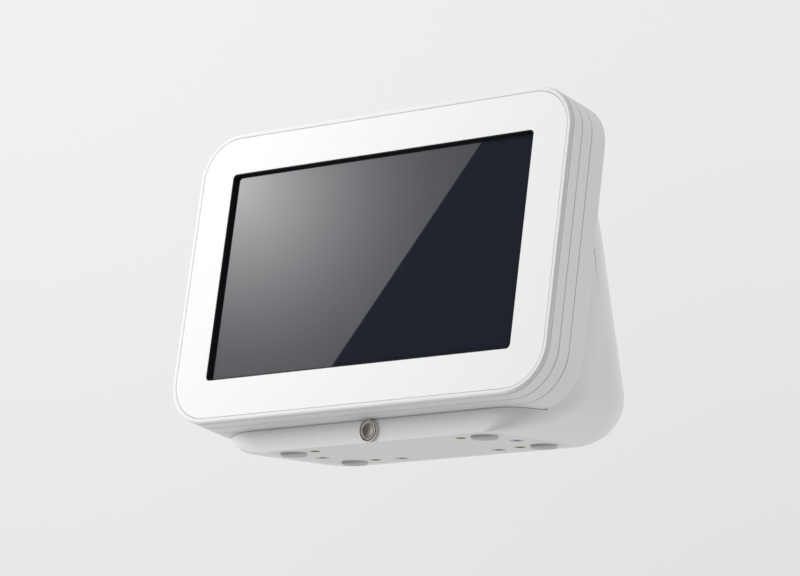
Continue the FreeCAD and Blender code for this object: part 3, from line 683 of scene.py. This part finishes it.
def add_reflection(settings, eye):
    """A lit panel and a dark one that the screen mirrors, meeting on a slanting line."""
    centre = face_centre() - FACE_OUT * PANEL_THICKNESS
    low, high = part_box("screen_gasket")
    half_width = (high.x - low.x) / 2
    half_height = (high.z - low.z) / 2 / math.cos(TILT)
    mirrored = eye - FACE_OUT * 2 * (eye - centre).dot(FACE_OUT)
    away = (centre - mirrored).normalized()
    card_distance = 0.9
    plane_point = centre + away * card_distance

    def on_card(share, up):
        """Where on the cards' plane a place in the window looks, by its share across and height."""
        point = centre + FACE_SIDE * half_width * (2 * share - 1) + FACE_UP * half_height * up
        ray = point - mirrored
        return mirrored + ray * ((plane_point - mirrored).dot(away) / ray.dot(away))

    top = on_card(settings.card_top, 1)
    bottom = on_card(settings.card_bottom, -1)
    corner = on_card(0.0, 0.9)
    along = (top - bottom).normalized()
    toward = -away
    lit_side = toward.cross(along).normalized()
    if (corner - bottom).dot(lit_side) < 0:
        along = -along
        lit_side = -lit_side
    middle = (top + bottom) / 2
    hot_spot = ((corner - middle).dot(along), (corner - middle).dot(lit_side))
    glow_reach = (corner - bottom).length * 1.25
    lit = emitter("lit_panel", settings.card_dim, settings.card_bright, hot_spot, glow_reach)
    dark = emitter("dark_panel", 0.02, 0.02, (0, 0), 1.0)
    add_card("lit_panel", middle, along, lit_side, toward, lit)
    add_card("dark_panel", middle, -along, -lit_side, toward, dark)


def add_light(name, location, target, size, power):
    """A square area light that faces its target and is not mirrored."""
    direction = (target - location).normalized()
    bpy.ops.object.light_add(type="AREA", location=location,
                             rotation=direction.to_track_quat("-Z", "Y").to_euler())
    light = bpy.context.object
    light.name = name
    light.data.shape = "RECTANGLE"
    light.data.size = size
    light.data.size_y = size
    light.data.energy = power
    light.visible_glossy = False


def smooth_step(tree, value, start, end, first, last):
    """Goes smoothly from the first level to the last one while the value goes from start to end."""
    return tree.add("ShaderNodeMapRange", {"interpolation_type": "SMOOTHSTEP"}, {
        "Value": value, "From Min": start, "From Max": end, "To Min": first, "To Max": last})


def set_world():
    """Pale studio surround, lightest behind the kiosk, with soft steps to each side, up and down."""
    world = bpy.data.worlds.new("studio")
    bpy.context.scene.world = world
    world.use_nodes = True
    tree = Tree(world.node_tree)
    tree.tree.nodes.clear()
    across, back, up = tree.split(tree.add("ShaderNodeTexCoord", output="Generated"))
    left = smooth_step(tree, across, -0.72, -0.50, 0.055, -0.05)
    rise = smooth_step(tree, up, 0.03, 0.27, -0.055, 0.045)
    right = smooth_step(tree, across, -0.4, 0.8, 0.0, 0.09)
    below = smooth_step(tree, up, -0.9, -0.15, 0.20, 0.0)
    level = back * SKY_SLOPE + SKY_LEVEL + left + rise + right + below
    glow = tree.add("ShaderNodeBackground", {}, {"Color": tree.grey(level, SKY_TINT)})
    tree.output_to("ShaderNodeOutputWorld", glow)


def add_floor():
    """Pale floor that is seen from above and lets the view from below through."""
    clear_selection()
    bpy.ops.mesh.primitive_plane_add(size=FLOOR_SIZE, location=(0, 0, -FLOOR_GAP))
    floor = bpy.context.object
    floor.name = "floor"
    material = bpy.data.materials.new("pale_floor")
    material.use_nodes = True
    tree = Tree(material.node_tree)
    surface = tree.tree.nodes["Principled BSDF"]
    surface.inputs["Base Color"].default_value = (0.80, 0.80, 0.795, 1)
    surface.inputs["Roughness"].default_value = 0.7
    back_side = tree.add("ShaderNodeNewGeometry", output="Backfacing")
    clear = tree.add("ShaderNodeBsdfTransparent")
    pale = Wire(tree.tree, surface.outputs[0])
    both = tree.add("ShaderNodeMixShader", {}, {0: back_side, 1: pale, 2: clear})
    out = tree.tree.nodes["Material Output"]
    tree.tree.links.new(both.socket, out.inputs["Surface"])
    floor.data.materials.append(material)
    floor.visible_diffuse = False
    floor.visible_glossy = False
    floor.visible_shadow = False


class KIOSK_OT_stage(bpy.types.Operator):
    """Set the camera, the soft studio light and the pale floor"""

    bl_idname = "kiosk.stage"
    bl_label = "Stage"

    def execute(self, context):
        settings = context.scene.kiosk_stage
        clear_selection()
        camera = add_camera(settings)
        set_world()
        add_floor()
        add_light("key", KEY_PLACE, face_centre(), KEY_SIZE, settings.key_power)
        add_reflection(settings, camera.location.copy())
        context.scene.view_settings.view_transform = "Standard"
        return {"FINISHED"}


class KIOSK_PT_panel(bpy.types.Panel):
    """The kiosk's pieces and settings"""

    bl_label = "Touchscreen kiosk"
    bl_idname = "KIOSK_PT_panel"
    bl_space_type = "VIEW_3D"
    bl_region_type = "UI"
    bl_category = "Kiosk"

    def draw(self, context):
        layout = self.layout
        for group in ("kiosk_finish", "kiosk_button", "kiosk_stage"):
            settings = getattr(context.scene, group)
            column = layout.column(align=True)
            for name in settings.__annotations__:
                column.prop(settings, name)
        for operator in OPERATORS:
            layout.operator(operator.bl_idname)


OPERATORS = (KIOSK_OT_finishes, KIOSK_OT_button, KIOSK_OT_feet, KIOSK_OT_stage)
GROUPS = {"kiosk_finish": KioskFinishSettings, "kiosk_button": KioskButtonSettings,
          "kiosk_stage": KioskStageSettings}


def register():
    for group in GROUPS.values():
        bpy.utils.register_class(group)
    for name, group in GROUPS.items():
        setattr(bpy.types.Scene, name, bpy.props.PointerProperty(type=group))
    for operator in OPERATORS:
        bpy.utils.register_class(operator)
    bpy.utils.register_class(KIOSK_PT_panel)


def unregister():
    bpy.utils.unregister_class(KIOSK_PT_panel)
    for operator in reversed(OPERATORS):
        bpy.utils.unregister_class(operator)
    for name in GROUPS:
        delattr(bpy.types.Scene, name)
    for group in reversed(GROUPS.values()):
        bpy.utils.unregister_class(group)


def main():
    register()
    bpy.ops.kiosk.finishes()
    bpy.ops.kiosk.button()
    bpy.ops.kiosk.feet()
    bpy.ops.kiosk.stage()


if __name__ == "__main__":
    main()
